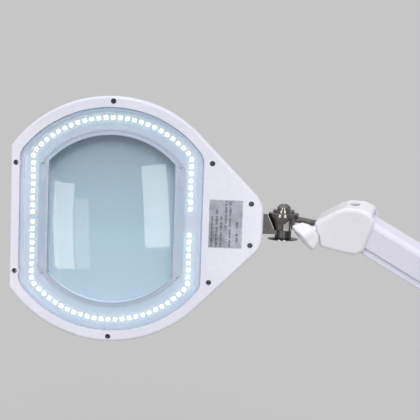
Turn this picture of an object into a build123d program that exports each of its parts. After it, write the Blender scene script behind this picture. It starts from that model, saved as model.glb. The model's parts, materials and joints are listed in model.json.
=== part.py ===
from build123d import *
from math import acos, cos, degrees, radians, sin, sqrt
import os

os.makedirs("parts", exist_ok=True)

# A bench magnifying lamp: table clamp, two parallelogram arms, hood, knuckle and LED head.
# Millimetres, +Z up. The origin is on the clamp's seat, under the swivel axis, where the table top goes.
# The arms lie in the XZ plane and the head hangs out towards -X.

# ---- arms ----
ARM_LENGTH = 380.0        # pivot to pivot, both arms
LOWER_ARM_RISE = 60.0     # degrees above level, leaning towards +X
UPPER_ARM_RISE = 29.0     # degrees above level, rising towards -X
LINK_SPACING = 18.0       # from an arm's main pivots to its link pivots
CHANNEL_WIDTH = 36.0
CHANNEL_WALL = 1.6
CHANNEL_ABOVE = 11.0      # from the main pivot line up to the channel's top
CHANNEL_BELOW = 17.0      # and down to its open edge
CHANNEL_END = 12.0        # past each main pivot
CHANNEL_ROUND = 6.0       # radius of its long top edges
LINK_WIDTH = 31.0
LINK_WALL = 1.5
LINK_ABOVE = 6.0          # from the link pivot line up to its open edge
LINK_BELOW = 8.5          # and down to its closed bottom
LINK_END = 6.0            # past each link pivot
MAIN_PIN_RADIUS = 4.0
LINK_PIN_RADIUS = 3.0
RUNNING_GAP = 0.05        # radial clearance of every pivot
OPEN_PIVOT_GAP = 0.4      # radial clearance of the links' far pivots
MAIN_LUG_RADIUS = 9.0
LINK_LUG_RADIUS = 5.8
MAIN_LUG_WIDTH = 26.0
LINK_LUG_WIDTH = 10.0
COVER_WIDTH = 43.0        # hood, elbow and base covers
COVER_INSIDE = 36.8
SINK_RADIUS = 3.5         # the covers' screw sinks
SINK_DEPTH = 2.4

# ---- springs ----
SPRING_RADIUS = 4.5
SPRING_WIRE = 1.6
SPRING_TURNS = 60
SPRING_OFFSET = 8.0       # each side of the arm plane
ANCHOR_DISTANCE = 200.0   # anchor pin from the link pivot
ANCHOR_RADIUS = 1.5
ANCHOR_HEIGHT = 12.2      # above the link pivot line, clear of the link's edges at every tilt

# ---- base and clamp ----
JAW_THICKNESS = 12.0
JAW_WIDTH = 50.0
JAW_REACH = 48.0          # jaw tip from the swivel axis
SPINE_INSIDE = 26.0
SPINE_OUTSIDE = 38.0
JAW_OPENING = 84.0
STEM_RADIUS = 6.0
STEM_BORE_DEPTH = 32.0
SOCKET_RADIUS = 17.0
SOCKET_TOP = 36.0
WASHER_THICKNESS = 1.6
BASE_FLOOR = SOCKET_TOP + WASHER_THICKNESS
BASE_PIVOT_HEIGHT = 80.0
SCREW_AXIS_X = -16.0
SCREW_RADIUS = 6.0
SCREW_LENGTH = 104.0
PAD_RADIUS = 21.0
PAD_THICKNESS = 8.0
PAD_TOP = -40.0           # height of the pad's face at rest

# ---- elbow, hood and knuckle ----
ELBOW_STEP = Vector(8, 0, 52)        # from the lower arm's pivot to the upper arm's
KNUCKLE_FROM_HOOD = Vector(-83, 0, -4)
ROD_RADIUS = 3.5
ROD_DROP = 8.0            # degrees below level, from the knuckle towards the hood
ROD_RISE = 2.0            # where the rod's axis passes above the knuckle
ROD_START = 7.0           # distances along the rod from the bolt axis
ROD_END = 58.5
HOOD_ROUND = 4.2          # radius round the hood's side faces
HUB_RADIUS = 17.0
HUB_FOOT_RADIUS = 10.0
BARREL_RADIUS = 9.2
BARREL_TOP = -12.8        # heights along the bolt, from the knuckle
BARREL_BOTTOM = -23.4
FLANGE_RADIUS = 17.0
BOLT_RADIUS = 4.0
KNOB_FACE = (25.7, -24.7, -16.0)      # middle of its outer face, from the knuckle
KNOB_OUT = (-0.67, -0.40, -0.62)      # the way that face looks
KNOB_RADIUS = 18.4        # at its outer face
KNOB_LOBE = 7.0
KNOB_LOBES = 5
KNOB_THICKNESS = 14.0
KNOB_BOSS_END = 16.6      # distances behind the outer face
KNOB_STEM_END = 28.0
KNOB_STEM_RADIUS = 3.0
KNOB_SEAT_GAP = 0.6       # room left round the knob in the hood

# ---- head, in its own plane: x out to the neck, y across, z out of the LED side ----
HEAD_YAW = 15.0           # turn about +Z
HEAD_LIFT = 9.0           # LED side raised from level
HEAD_LEAN = -2.0          # neck below level
HEAD_DEPTH = 38.0
BOLT_IN_HEAD = Vector(191.5, 6.5, -19.0)
HEAD_RADIUS = 136.0
HEAD_CUT = 111.0
NECK_END = 168.0
NECK_CORNER = 27.0
SHELL_WALL = 2.5
PART_LINE = -16.0
PANEL_RADIUS = 124.0
PANEL_CUT = 101.0
PANEL_CORNER = 20.0
COVER_THICKNESS = 2.5
WINDOW_RADIUS = 93.0
WINDOW_CUT = 69.0
LENS_RADIUS = 95.0
LENS_CUT = 78.5
LENS_BULGE = 13.0
LENS_EDGE = 3.0
LENS_MIDDLE = -20.0
TRACK_RADIUS = 112.5
TRACK_CUT = 87.0
BOARD_WIDTH = 12.0
BOARD_THICKNESS = 1.6
BOARD_TOP = -8.6
LED_COUNT = 42            # on each board
LED_PITCH = 7.85
LED_SIZE = 5.0
LED_HEIGHT = 1.4
LED_START = 5.3           # first LED's distance from the head's centre line
SCREW_SPOTS = [(0, 130.4), (-105, 60), (110, 66), (154.2, 23)]
SCREW_RECESS_RADIUS = 3.0
HINGE_X = 106.0           # the dust cover's pin, in head axes
HINGE_Z = -HEAD_DEPTH - 4.0


def direction(angle):
    """A unit vector in the arm plane, by its angle above +X."""
    return Vector(cos(radians(angle)), 0, sin(radians(angle)))


# ---- the frame that everything is placed on ----
lower_along = direction(LOWER_ARM_RISE)
lower_outward = direction(LOWER_ARM_RISE + 90)
upper_along = direction(-UPPER_ARM_RISE)
upper_outward = direction(90 - UPPER_ARM_RISE)
BASE_PIVOT = Vector(0, 0, BASE_PIVOT_HEIGHT)
ELBOW_LOW = BASE_PIVOT + lower_along * ARM_LENGTH
ELBOW_HIGH = ELBOW_LOW + ELBOW_STEP
HOOD_PIVOT = ELBOW_HIGH - upper_along * ARM_LENGTH
KNUCKLE = HOOD_PIVOT + KNUCKLE_FROM_HOOD
LOWER_ARM = Plane(origin=BASE_PIVOT, x_dir=lower_along, z_dir=lower_outward)
UPPER_ARM = Plane(origin=HOOD_PIVOT, x_dir=upper_along, z_dir=upper_outward)
lower_link_step = lower_outward * -LINK_SPACING
upper_link_step = upper_outward * -LINK_SPACING
head_normal = Vector(
    sin(radians(HEAD_YAW)) * cos(radians(HEAD_LIFT)),
    -cos(radians(HEAD_YAW)) * cos(radians(HEAD_LIFT)),
    sin(radians(HEAD_LIFT)),
)
head_level = Vector(cos(radians(HEAD_YAW)), sin(radians(HEAD_YAW)), 0)
head_up = head_normal.cross(head_level)
head_along = head_level * cos(radians(HEAD_LEAN)) + head_up * sin(radians(HEAD_LEAN))
head_axes = Plane(origin=KNUCKLE, x_dir=head_along, z_dir=head_normal)
HEAD = Plane(origin=head_axes.from_local_coords(-BOLT_IN_HEAD), x_dir=head_along, z_dir=head_normal)
BOLT = Plane(origin=KNUCKLE, x_dir=HEAD.x_dir, z_dir=HEAD.y_dir)
across_bolt = HEAD.y_dir.cross(Vector(1, 0, 0)).normalized()
HUB_SIDE = Plane(origin=KNUCKLE, x_dir=across_bolt.cross(HEAD.y_dir), z_dir=HEAD.y_dir)
ROD = Plane(origin=KNUCKLE + Vector(0, 0, ROD_RISE), x_dir=(0, 1, 0), z_dir=direction(-ROD_DROP))


# ---- small helpers ----
def write(node, *shapes):
    """Write one node's STEP file."""
    shape = shapes[0] if len(shapes) == 1 else Compound(children=list(shapes))
    export_step(shape, f"parts/{node}.step")


def place(plane, part):
    """Move a part drawn in a plane's own axes to where that plane is."""
    return plane.location * part


def slab(outline, low, high):
    """An outline in the arm plane (x, z), thickened across it from y = low to y = high."""
    return extrude(Plane.XZ.offset(-high) * outline, high - low, dir=(0, -1, 0))


def hull(*circles):
    """The outline around circles given as (centre vector, radius), in the arm plane."""
    rings = Sketch() + [Pos(centre.X, centre.Z) * Circle(radius) for centre, radius in circles]
    return make_hull(rings.edges())


def disc(centre, radius):
    """A circle in the arm plane."""
    return Pos(centre.X, centre.Z) * Circle(radius)


def cross_pin(centre, radius, low, high):
    """A plain pin across the arm plane."""
    return slab(disc(centre, radius), low, high)


def rod_between(plane, radius, low, high):
    """A cylinder along a plane's own z, from low to high."""
    return place(plane, Pos(0, 0, (low + high) / 2) * Cylinder(radius, high - low))


def ring_between(plane, outer, inner, low, high):
    """A tube along a plane's own z, from low to high."""
    return rod_between(plane, outer, low, high) - rod_between(plane, inner, low - 1, high + 1)


def cut_disc(radius, half_width, corner=0.0):
    """A disc with its left and right sides cut off straight."""
    outline = Circle(radius) & Rectangle(2 * half_width, 3 * radius)
    if corner:
        outline = fillet(outline.vertices(), corner)
    return outline


def level(outline, low, high):
    """A head outline thickened between two depths."""
    return extrude(Pos(0, 0, low) * outline, high - low)


# ---- arms, drawn with x along the arm and z away from its link ----
def round_topped_bar(length, width, height, radius):
    """A bar along x with rounded long top edges."""
    section = Rectangle(width, height)
    section = fillet(section.vertices().group_by(Axis.Y)[-1], radius)
    return extrude(Plane.YZ * section, length / 2, both=True)


def arm_channel():
    length = ARM_LENGTH + 2 * CHANNEL_END
    height = CHANNEL_ABOVE + CHANNEL_BELOW
    middle = Pos(ARM_LENGTH / 2, 0, (CHANNEL_ABOVE - CHANNEL_BELOW) / 2)
    outside = round_topped_bar(length, CHANNEL_WIDTH, height, CHANNEL_ROUND)
    side = fillet(Rectangle(length, height).vertices(), 7.0)
    outside &= extrude(Plane.XZ * side, CHANNEL_WIDTH, both=True)
    inner_width = CHANNEL_WIDTH - 2 * CHANNEL_WALL
    inside = round_topped_bar(length + 2, inner_width, height, CHANNEL_ROUND - CHANNEL_WALL)
    channel = middle * (outside - Pos(0, 0, -CHANNEL_WALL) * inside)
    for x in (0, ARM_LENGTH):
        channel -= Pos(x, 0, 0) * Rot(90, 0, 0) * Cylinder(MAIN_PIN_RADIUS + RUNNING_GAP, 50)
    return channel


def anchor(x, length):
    """The cross pin that the springs pull on, in arm axes."""
    return Pos(x, 0, ANCHOR_HEIGHT - LINK_SPACING) * Rot(90, 0, 0) * Cylinder(ANCHOR_RADIUS, length)


def arm_link(open_end):
    """The lower channel. Its pivot at x = open_end has the clearance of the opened linkage."""
    length = ARM_LENGTH + 2 * LINK_END
    height = LINK_ABOVE + LINK_BELOW
    middle = Pos(ARM_LENGTH / 2, 0, (LINK_ABOVE - LINK_BELOW) / 2 - LINK_SPACING)
    outside = Box(length, LINK_WIDTH, height)
    bottom_edges = outside.edges().filter_by(Axis.X).group_by(Axis.Z)[0]
    outside = fillet(bottom_edges, 2.0)
    top_corners = outside.edges().filter_by(Axis.Y).group_by(Axis.Z)[-1]
    outside = fillet(top_corners, 4.0)
    inside = Pos(0, 0, LINK_WALL) * Box(length + 2, LINK_WIDTH - 2 * LINK_WALL, height)
    link = middle * (outside - inside)
    for x in (0, ARM_LENGTH):
        gap = OPEN_PIVOT_GAP if x == open_end else RUNNING_GAP
        link -= Pos(x, 0, -LINK_SPACING) * Rot(90, 0, 0) * Cylinder(LINK_PIN_RADIUS + gap, 50)
    return link


def spring():
    """A balance spring: an eye round the link pin, a close coil, and a long loop round the anchor."""
    coil_start = 24.0
    pitch = SPRING_WIRE
    coil_end = coil_start + SPRING_TURNS * pitch
    centre_radius = SPRING_RADIUS - SPRING_WIRE / 2
    first = coil_start + pitch / 2
    wire = []
    for turn in range(SPRING_TURNS):
        wire.append(Pos(first + turn * pitch, centre_radius) * Circle(SPRING_WIRE / 2))
    core = Pos((coil_start + coil_end) / 2, centre_radius) * Rectangle(coil_end - coil_start, 0.9)
    last = coil_end - pitch / 2
    ends = [Pos(x, centre_radius / 2) * Rectangle(pitch, centre_radius) for x in (first, last)]
    coil = revolve(Sketch() + core + wire + ends, Axis.X)
    eye = Circle(LINK_PIN_RADIUS + 1.8) - Circle(LINK_PIN_RADIUS + 0.2)
    shank = Pos(coil_start / 2 + 2.7, 0) * Rectangle(coil_start - 3.4, 1.6)
    loop_height = ANCHOR_HEIGHT - 2.1
    loop = Pos(ANCHOR_DISTANCE, loop_height) * (SlotOverall(42, 11.2) - SlotOverall(39, 8.2))
    loop_start = ANCHOR_DISTANCE - 20.2
    tail = Polygon((coil_end - 1, -0.8), (coil_end + 2, -0.8), (loop_start, loop_height - 0.8),
                   (loop_start, loop_height + 0.8), (coil_end - 1, 0.8), align=None)
    flat = Sketch() + eye + shank + loop + tail
    plate = extrude(Plane.XZ * flat, 0.8, both=True)
    return coil + plate


def spring_pair():
    pair = []
    for side in (-1, 1):
        pair.append(Pos(0, side * SPRING_OFFSET, -LINK_SPACING) * spring())
    return pair


def write_arm(name, plane, spring_end):
    """One arm: channel, link, springs and anchor pin. Its springs start at the link pivot at spring_end."""
    toward = 1 if spring_end == 0 else -1
    anchor_x = spring_end + toward * ANCHOR_DISTANCE
    channel = arm_channel() - anchor(anchor_x, 50)
    far_end = ARM_LENGTH - spring_end
    write(f"{name}_channel", place(plane, channel))
    write(f"{name}_link", place(plane, arm_link(far_end)))
    turn = Pos(spring_end, 0, 0) * Rot(0, 0, 0 if spring_end == 0 else 180)
    write(f"{name}_springs", *[place(plane, turn * each) for each in spring_pair()])
    write(f"{name}_anchor_pin", place(plane, anchor(anchor_x, CHANNEL_WIDTH)))


# ---- blocks that the arms pivot on ----
def lugs(main, link):
    """The lug for an arm's main pivot and the narrow tongue down to its link pivot."""
    wide = slab(disc(main, MAIN_LUG_RADIUS), -MAIN_LUG_WIDTH / 2, MAIN_LUG_WIDTH / 2)
    narrow = slab(hull((main, 5.5), (link, LINK_LUG_RADIUS)), -LINK_LUG_WIDTH / 2, LINK_LUG_WIDTH / 2)
    return wide + narrow


def bar(points, width):
    """A plain block in the arm plane through the given corners."""
    return slab(Polygon(*points, align=None), -width / 2, width / 2)


def drill(block, centres, radius):
    for centre in centres:
        block -= cross_pin(centre, radius, -30, 30)
    return block


def main_pin(centre):
    """A pin through the channel's walls, with heads inside the cover."""
    return cross_pin(centre, MAIN_PIN_RADIUS, -CHANNEL_WIDTH / 2 - 0.2, CHANNEL_WIDTH / 2 + 0.2)


def link_pin(centre):
    return cross_pin(centre, LINK_PIN_RADIUS, -LINK_WIDTH / 2 - 0.3, LINK_WIDTH / 2 + 0.3)


def cross_range(side, first, last):
    """Two distances out from the arm plane on one side, as low and high y."""
    return sorted((side * first, side * last))


def side_screws(spots, sides=(-1, 1), length=10.0):
    """Screws sunk in a cover's sides: -1 is the near side and 1 the far side."""
    outer = COVER_WIDTH / 2
    seat = outer - SINK_DEPTH
    screws = []
    for centre in spots:
        for side in sides:
            head = cross_pin(centre, SINK_RADIUS - 0.2, *cross_range(side, seat, outer - 0.4))
            screws.append(head + cross_pin(centre, 1.5, *cross_range(side, outer - length, seat)))
    return screws


def screw_holes(cover, spots, sides=(-1, 1)):
    """The sinks and holes for side_screws."""
    outer = COVER_WIDTH / 2
    for centre in spots:
        for side in sides:
            cover -= cross_pin(centre, 1.6, *cross_range(side, 0, outer))
            cover -= cross_pin(centre, SINK_RADIUS, *cross_range(side, outer - SINK_DEPTH, outer + 1))
    return cover


def cover_posts(spots):
    """The posts inside a cover that its screws go into."""
    return [cross_pin(centre, 3.2, -COVER_INSIDE / 2 - 0.5, COVER_INSIDE / 2 + 0.5) for centre in spots]


def halves(cover):
    """Split a cover at the arm plane into its near (-y) and far (+y) halves."""
    near = cover & Pos(0, -250, 0) * Box(2000, 500, 3000)
    far = cover & Pos(0, 250, 0) * Box(2000, 500, 3000)
    return near, far


# ---- hood at the head end ----
def hood_point(x, z):
    """A point in the arm plane, measured from the knuckle."""
    return Vector(KNUCKLE.X + x, 0, KNUCKLE.Z + z)


def hood_bar(corners, width):
    """A block through corners measured from the knuckle."""
    return bar([(KNUCKLE.X + x, KNUCKLE.Z + z) for x, z in corners], width)


def hood_screw_spots():
    return [hood_point(53, 4), hood_point(54, -13)]


def hood_outline(inset=0.0):
    corners = [(37.5, 3.0), (61, 17.5), (71, 21.5), (88, 21.5), (99.5, 16.5), (103.5, 8),
               (101, -2), (92.5, -26), (84, -31), (67, -29), (45, -24.5)]
    sizes = [5, 12, 8, 10, 8, 8, 8, 6, 10, 12, 6]
    outline = Polygon(*[(KNUCKLE.X + x, KNUCKLE.Z + z) for x, z in corners], align=None)
    points = [Vector(KNUCKLE.X + x, KNUCKLE.Z + z) for x, z in corners]
    for point, size in zip(points, sizes):
        vertex = outline.vertices().sort_by_distance(point)[0]
        outline = fillet(vertex, size)
    if inset:
        outline = offset(outline, -inset)
    return outline


def hood_opening():
    """What the arm sweeps through: open behind and below, closed round the nose."""
    wide = 200.0
    corners = [(90, 14.5), (wide, 14.5), (wide, -120), (67, -120), (67, -27), (80, -10)]
    return Polygon(*[(KNUCKLE.X + x, KNUCKLE.Z + z) for x, z in corners], align=None)


def hood_shell():
    half = COVER_WIDTH / 2
    shell = slab(hood_outline(), -half, half)
    rims = shell.faces().filter_by(Axis.Y).edges()
    shell = fillet(rims, HOOD_ROUND)
    inner = hood_outline(2.2) & Pos(KNUCKLE.X + 110, KNUCKLE.Z) * Rectangle(128, 200)
    cavity = slab(inner, -COVER_INSIDE / 2, COVER_INSIDE / 2)
    cavity += slab(hood_opening(), -COVER_INSIDE / 2, COVER_INSIDE / 2)
    shell -= cavity
    shell -= rod_between(ROD, ROD_RADIUS + 0.6, 30, 60)
    shell -= knob_stem(RUNNING_GAP, 10, KNOB_STEM_END + 1)
    shell -= place(KNOB, knob_turning(KNOB_SEAT_GAP))
    shell -= Pos(KNUCKLE.X + 79.5, 0, KNUCKLE.Z + 20) * Cylinder(5.6, 20)
    return screw_holes(shell, hood_screw_spots(), (1,))


def hood_core():
    """The metal block that holds the rod and the hood end of both channels."""
    hood_link = HOOD_PIVOT + upper_link_step
    block = hood_bar([(47, -17), (60, -17), (60, 9), (47, 5.5)], 26)
    arm = hood_bar([(59, -5), (79, -5), (83, 13), (59, 9)], 20)
    core = block + arm + lugs(HOOD_PIVOT, hood_link)
    core = drill(core, [HOOD_PIVOT], MAIN_PIN_RADIUS)
    core = drill(core, [hood_link], LINK_PIN_RADIUS)
    core -= rod_between(ROD, ROD_RADIUS + RUNNING_GAP, 30, ROD_END + 5.5)
    core -= rod_between(ROD, 7.0, ROD_END + 2, ROD_END + 5.5)
    for spot in hood_screw_spots():
        core -= cross_pin(spot, 1.5, 0, 30)
    return core


def knob_plane():
    """The knob's own axes: z out of the hood, from the middle of its outer face."""
    out = Vector(*KNOB_OUT).normalized()
    across = out.cross(Vector(0, 0, 1)).normalized()
    return Plane(origin=KNUCKLE + Vector(*KNOB_FACE), x_dir=across, z_dir=out)


KNOB = knob_plane()


def knob_stem(gap, low, high):
    """The knob's threaded stem, or the hole for it, between two distances behind the outer face."""
    return rod_between(KNOB, KNOB_STEM_RADIUS + gap, -high, -low)


def knob_turning(gap):
    """The round shape that the knob fills as it turns, or the seat for it in the hood."""
    low = -KNOB_BOSS_END - gap
    profile = Polygon((0, low), (8.5 + gap, low), (12.6 + gap, -KNOB_THICKNESS - gap / 2),
                      (14.0 + gap, 2 - KNOB_THICKNESS), (KNOB_RADIUS + gap, -2.6),
                      (KNOB_RADIUS - 0.8 + gap, -0.8), (KNOB_RADIUS - 3, 0), (0, 0), align=None)
    return revolve(Plane.XZ * profile, Axis.Z)


def clamp_knob():
    """A lobed grip that narrows towards the hood, on a conical boss and its stem."""
    outline = Sketch() + Circle(KNOB_RADIUS - 2.4)
    for number in range(KNOB_LOBES):
        angle = 360 / KNOB_LOBES * number
        outline += Rot(0, 0, angle) * Pos(KNOB_RADIUS - KNOB_LOBE, 0) * Circle(KNOB_LOBE)
    grip = level(outline, -KNOB_BOSS_END, 0) & knob_turning(0)
    return place(KNOB, grip) + knob_stem(0, KNOB_BOSS_END, KNOB_STEM_END)


# ---- knuckle ----
def knuckle_hub():
    """A cone under a round plate, with a block on its side that the rod is fixed in."""
    profile = Polygon((0, -12.5), (HUB_FOOT_RADIUS, -12.5), (HUB_RADIUS, 2.4), (HUB_RADIUS, 5.7),
                      (HUB_RADIUS - 0.8, 6.5), (0, 6.5), align=None)
    hub = place(BOLT, revolve(Plane.XZ * profile, Axis.Z))
    block = Pos(5.6, -3.0, -4.4) * Box(8.8, 20.0, 16.2)
    block = fillet(block.edges().filter_by(Axis.Z), 2.0)
    hub += place(HUB_SIDE, block)
    hub -= rod_between(BOLT, BOLT_RADIUS, -20, 30)
    hub -= rod_between(ROD, ROD_RADIUS, ROD_START, 40)
    return hub


def knuckle_bolt():
    """A domed cap screw down through the hub and the head's bracket."""
    shank = rod_between(Plane.XY, BOLT_RADIUS, BARREL_BOTTOM + 0.4, 9.8)
    dome_radius = 8.8
    dome = Pos(0, 0, 16.6 - dome_radius) * Sphere(dome_radius) & Pos(0, 0, 9.8 + 5) * Cylinder(7.5, 10)
    slot = Pos(0, 0, 16.6) * Box(1.4, 16, 2.4)
    return place(BOLT, shank + dome - slot)


def write_knuckle():
    write("knuckle_hub", knuckle_hub())
    write("knuckle_bolt", knuckle_bolt())
    write("knuckle_washer", ring_between(BOLT, 12.0, BOLT_RADIUS, 6.5, 9.8))
    nut = place(BOLT, extrude(Pos(0, 0, BARREL_BOTTOM + 0.2) * RegularPolygon(6.6, 6), 3.2))
    write("knuckle_nut", nut - rod_between(BOLT, BOLT_RADIUS, -40, 0))
    groove = ring_between(ROD, 6, 2.8, 61.1, 62.5)
    write("head_rod", rod_between(ROD, ROD_RADIUS, ROD_START, ROD_END + 5) - groove)
    write("rod_ring", ring_between(ROD, 6.0, 2.8, 61.1, 62.5))


# ---- head ----
def head_outline(inset=0.0):
    reach = HEAD_RADIUS * sqrt(0.5)
    side = 2 * reach - NECK_END
    neck = Polygon((0, -reach), (reach, -reach), (NECK_END, -side), (NECK_END, side), (reach, reach),
                   (0, reach), align=None)
    neck = fillet(neck.vertices().group_by(Axis.X)[-1], NECK_CORNER)
    outline = (Circle(HEAD_RADIUS) + neck) - Pos(-HEAD_CUT - 100, 0) * Rectangle(200, 400)
    outline = fillet(outline.vertices().group_by(Axis.X)[0], 8.0)
    if inset:
        outline = offset(outline, -inset, kind=Kind.INTERSECTION)
    return outline


def screw_spots():
    return [(x, side * y) for x, y in SCREW_SPOTS for side in (-1, 1)]


def front_bezel():
    block = level(head_outline(), PART_LINE, 0)
    block = fillet(block.faces().sort_by(Axis.Z)[-1].edges(), 3.0)
    block -= level(head_outline(SHELL_WALL), PART_LINE - 1, -SHELL_WALL)
    block -= level(cut_disc(PANEL_RADIUS, PANEL_CUT, PANEL_CORNER), -10, 5)
    inside = level(head_outline(0.6), PART_LINE, 0)
    for x, y in screw_spots():
        block += (Pos(x, y, PART_LINE / 2 - 1) * Cylinder(5.2, -PART_LINE - 2)) & inside
        block -= Pos(x, y, -4) * Cylinder(SCREW_RECESS_RADIUS, 8.02)
        block -= Pos(x, y, -12) * Cylinder(1.6, 20)
    behind_panel = cut_disc(PANEL_RADIUS + 3.6, PANEL_CUT + 3.6, PANEL_CORNER + 3)
    block -= level(behind_panel, PART_LINE - 1, -SHELL_WALL)
    block -= neck_slot()
    return block


def neck_slot():
    """The window in the neck's end that the bracket comes out of."""
    return Pos(NECK_END, 0, -19) * Box(30, 23, 13)


def rear_housing():
    floor = -HEAD_DEPTH
    block = level(head_outline(), floor, PART_LINE)
    block = fillet(block.faces().sort_by(Axis.Z)[0].edges(), 5.0)
    block -= level(head_outline(SHELL_WALL), floor + SHELL_WALL, PART_LINE + 1)
    seat_low = -24.0
    seat_high = LENS_MIDDLE - LENS_EDGE / 2
    block += level(cut_disc(97.0, 73.0), floor, seat_low)
    block += level(cut_disc(98.5, 82.0), seat_low, seat_high)
    block -= level(cut_disc(92.0, 68.0), floor - 1, 0)
    block -= lens(0.2)
    for x, y in screw_spots():
        post = Pos(x, y, (floor + PART_LINE) / 2) * Cylinder(4.4, PART_LINE - floor)
        block += post & level(head_outline(0.6), floor, PART_LINE)
        block -= Pos(x, y, PART_LINE - 6) * Cylinder(1.25, 12.02)
    for y in (-6, 6):
        block += Pos(136, y, -31.2) * Cylinder(3.0, 10.6)
        block -= Pos(136, y, -29) * Cylinder(1.25, 8)
    block -= Pos(122, 0, floor) * Cylinder(6.3, 12)
    block -= neck_slot()
    for y in (-44, 44):
        block += hinge_ear(y)
    return block


def hinge_ear(y):
    """A lug on the housing's back for the dust cover's pin."""
    axis = Pos(HINGE_X, y, HINGE_Z) * Rot(90, 0, 0)
    ear = Pos(HINGE_X, y, HINGE_Z + 3.2) * Box(7, 5, 6.4) + axis * Cylinder(3.5, 5)
    return ear - axis * Cylinder(1.55, 10)


def dust_cover():
    """A thin lid over the back of the lens, with a knuckle between the housing's ears."""
    top = -HEAD_DEPTH - 0.4
    outline = cut_disc(99.0, 80.0, 6.0)
    lid = level(outline, top - 3.2, top)
    lid = fillet(lid.faces().sort_by(Axis.Z)[0].edges(), 1.2)
    lid -= level(cut_disc(95.5, 76.5, 4.0), top - 1.2, top + 1)
    for y in (-30, 30):
        lid += Pos((76 + HINGE_X) / 2, y, top - 1.6) * Box(HINGE_X - 76, 16, 3.2)
        lid += Pos(HINGE_X, y, HINGE_Z) * Rot(90, 0, 0) * Cylinder(3.2, 16)
    lid -= Pos(HINGE_X, 0, HINGE_Z) * Rot(90, 0, 0) * Cylinder(1.5 + RUNNING_GAP, 200)
    lid += Pos(-84, 0, top - 1.6) * Box(14, 26, 3.2)
    return lid


def light_cover():
    top = -SHELL_WALL - 0.1
    panel = level(cut_disc(PANEL_RADIUS + 3, PANEL_CUT + 3, PANEL_CORNER + 2), top - COVER_THICKNESS, top)
    return panel - level(cut_disc(WINDOW_RADIUS, WINDOW_CUT, 3), -20, 5)


def reflector_tray():
    """The white floor under the LED boards, with a low lip at each edge."""
    low = BOARD_TOP - BOARD_THICKNESS - 1.6
    high = BOARD_TOP - BOARD_THICKNESS
    outer = cut_disc(PANEL_RADIUS + 2, PANEL_CUT + 2, PANEL_CORNER)
    inner = cut_disc(LENS_RADIUS + 4.2, LENS_CUT + 4, 3)
    tray = level(outer, low, high) - level(inner, low - 1, high + 1)
    lip_inside = cut_disc(PANEL_RADIUS + 0.8, PANEL_CUT + 0.8, PANEL_CORNER)
    tray += level(outer, high, -5.4) - level(lip_inside, high - 1, 0)
    for x, y in screw_spots():
        tray -= Pos(x, y, -10) * Cylinder(5.4, 30)
    return tray


def track_point(distance):
    """A point on the LED track and its heading, by the distance from the left end of the upper half."""
    corner = acos(TRACK_CUT / TRACK_RADIUS)
    rise = TRACK_RADIUS * sin(corner)
    arc = TRACK_RADIUS * (radians(180) - 2 * corner)
    if distance < rise:
        return -TRACK_CUT, distance, 90.0
    if distance < rise + arc:
        angle = radians(180) - corner - (distance - rise) / TRACK_RADIUS
        return TRACK_RADIUS * cos(angle), TRACK_RADIUS * sin(angle), degrees(angle) - 90
    return TRACK_CUT, rise - (distance - rise - arc), 90.0


def led_chips(side):
    chips = []
    for number in range(LED_COUNT):
        x, y, heading = track_point(LED_START + number * LED_PITCH)
        chip = Box(LED_SIZE, LED_SIZE, LED_HEIGHT)
        chips.append(Pos(x, side * y, BOARD_TOP + LED_HEIGHT / 2) * Rot(0, 0, side * heading) * chip)
    return chips


def led_board(side):
    half = BOARD_WIDTH / 2
    ring = cut_disc(TRACK_RADIUS + half, TRACK_CUT + half)
    ring -= cut_disc(TRACK_RADIUS - half, TRACK_CUT - half)
    board = level(ring, BOARD_TOP - BOARD_THICKNESS, BOARD_TOP)
    left = board & (Pos(-100, side * 101.5, -9) * Box(200, 200, 10))
    right = board & (Pos(100, side * 108, -9) * Box(200, 200, 10))
    return left + right


def lens(gap=0.0):
    """The lens, or with a gap the space that its seat leaves round it."""
    bulge_radius = (LENS_RADIUS ** 2 + LENS_BULGE ** 2) / (2 * LENS_BULGE)
    half = LENS_EDGE / 2 + LENS_BULGE + gap
    blank = level(cut_disc(LENS_RADIUS, LENS_CUT), LENS_MIDDLE - half - 1, LENS_MIDDLE + half + 1)
    front = Pos(0, 0, LENS_MIDDLE + half - bulge_radius) * Sphere(bulge_radius)
    back = Pos(0, 0, LENS_MIDDLE - half + bulge_radius) * Sphere(bulge_radius)
    return blank & front & back


def lens_gasket():
    low = LENS_MIDDLE - LENS_EDGE / 2
    high = LENS_MIDDLE + LENS_EDGE / 2
    gasket = level(cut_disc(98.4, 81.9), low, high)
    return gasket - level(cut_disc(LENS_RADIUS, LENS_CUT), low - 1, high + 1)


def lens_frame():
    """The white rim between the light cover and the lens."""
    low = LENS_MIDDLE + LENS_EDGE / 2
    wall = level(cut_disc(WINDOW_RADIUS + 3.4, WINDOW_CUT + 3.4, 3), low, -5.4)
    flange = level(cut_disc(98.4, 81.9), low, low + 2.4)
    frame = wall + flange
    frame -= level(cut_disc(WINDOW_RADIUS + 0.4, WINDOW_CUT + 0.4, 3), -30, 5)
    return frame - lens(0.2)


def head_screws():
    screws = []
    for x, y in screw_spots():
        head = Pos(x, y, -6.9) * Cylinder(2.7, 2.2)
        head -= Pos(x, y, -5.8) * (Box(3.4, 0.8, 1.6) + Box(0.8, 3.4, 1.6))
        shank = Pos(x, y, -15) * Cylinder(1.25, 14)
        screws.append(head + shank)
    return screws


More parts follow.
